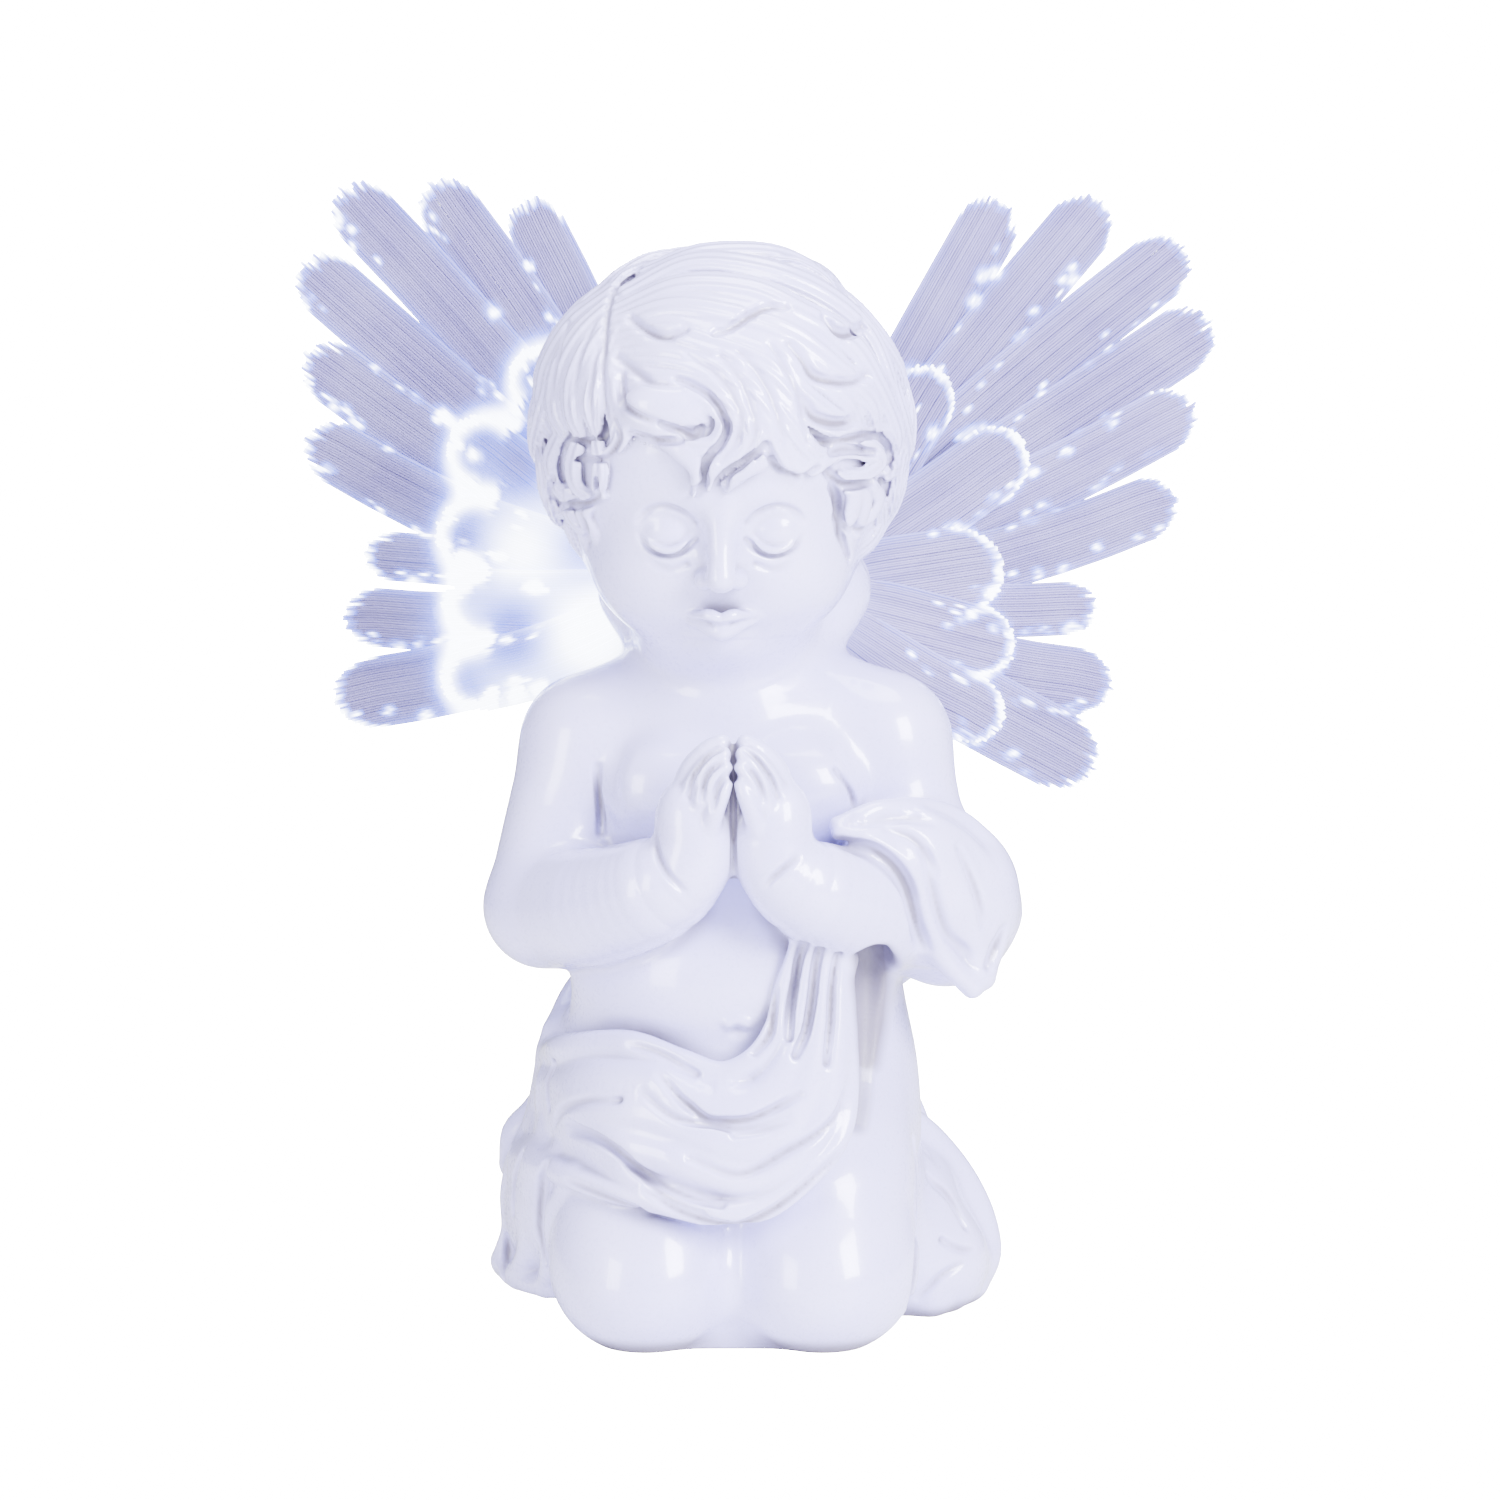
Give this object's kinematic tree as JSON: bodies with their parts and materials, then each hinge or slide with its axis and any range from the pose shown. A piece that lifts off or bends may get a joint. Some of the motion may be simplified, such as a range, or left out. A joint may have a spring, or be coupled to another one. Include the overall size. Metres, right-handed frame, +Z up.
{
  "type": "figurine",
  "caption": "Kneeling praying cherub figurine in white resin with two fans of optical-fibre feathers lit from a solar and battery module on its back.",
  "frame": {"origin": "centre of the underside, on the table surface", "axes": "+Z up, the figure faces -Y, its left hand is towards +X"},
  "size_m": [0.2479, 0.1449, 0.2917],
  "materials": {
    "resin": "gloss white paint over cast resin",
    "base_board": "matt",
    "felt": "felt",
    "white_plastic": "satin",
    "clear_acrylic": "clear",
    "lamp_epoxy": "clear gloss",
    "lead_cover": "matt",
    "optical_fibre": "translucent gloss",
    "foam": "closed-cell foam",
    "solar_cell": "dark blue with printed lines",
    "battery_sleeve": "printed sleeve",
    "plated_steel": "nickel plated",
    "circuit_board": "solder mask",
    "switch_metal": "plain",
    "black_plastic": "matt"
  },
  "bodies": {
    "figurine": {"figurine_casting": "resin", "base_plate": "base_board", "base_felt": "felt", "left_wing_bracket": "white_plastic", "left_light_core": "clear_acrylic", "left_lamp": "lamp_epoxy", "left_wing_cap": "white_plastic", "left_lamp_lead": "lead_cover", "right_wing_bracket": "white_plastic", "right_light_core": "clear_acrylic", "right_lamp": "lamp_epoxy", "right_wing_cap": "white_plastic", "right_lamp_lead": "lead_cover", "left_feather_1": "optical_fibre", "left_feather_2": "optical_fibre", "left_feather_3": "optical_fibre", "left_feather_4": "optical_fibre", "left_feather_5": "optical_fibre", "left_feather_6": "optical_fibre", "left_feather_7": "optical_fibre", "left_feather_8": "optical_fibre", "left_feather_9": "optical_fibre", "left_cover_feather_1": "optical_fibre", "left_cover_feather_2": "optical_fibre", "left_cover_feather_3": "optical_fibre", "left_cover_feather_4": "optical_fibre", "left_cover_feather_5": "optical_fibre", "right_feather_1": "optical_fibre", "right_feather_2": "optical_fibre", "right_feather_3": "optical_fibre", "right_feather_4": "optical_fibre", "right_feather_5": "optical_fibre", "right_feather_6": "optical_fibre", "right_feather_7": "optical_fibre", "right_feather_8": "optical_fibre", "right_feather_9": "optical_fibre", "right_cover_feather_1": "optical_fibre", "right_cover_feather_2": "optical_fibre", "right_cover_feather_3": "optical_fibre", "right_cover_feather_4": "optical_fibre", "right_cover_feather_5": "optical_fibre", "module_case": "white_plastic", "module_gasket": "foam", "solar_cell": "solar_cell", "panel_window": "clear_acrylic", "battery_cell": "battery_sleeve", "spring_contact": "plated_steel", "plate_contact": "plated_steel", "control_board": "circuit_board", "switch_body": "switch_metal", "module_screws": "plated_steel"},
    "door": {"battery_door": "white_plastic"},
    "switch": {"switch_knob": "black_plastic"}
  },
  "joints": [
    {"name": "battery_door_hinge", "type": "hinge", "parent": "figurine", "child": "door", "pos_m": [0, 0.06848, 0.02641], "axis": [-1, 0, 0], "range_deg": [0, 90]},
    {"name": "power_switch_slide", "type": "slide", "parent": "figurine", "child": "switch", "axis": [1, 0, 0], "range_m": [0, 0.002]}
  ]
}
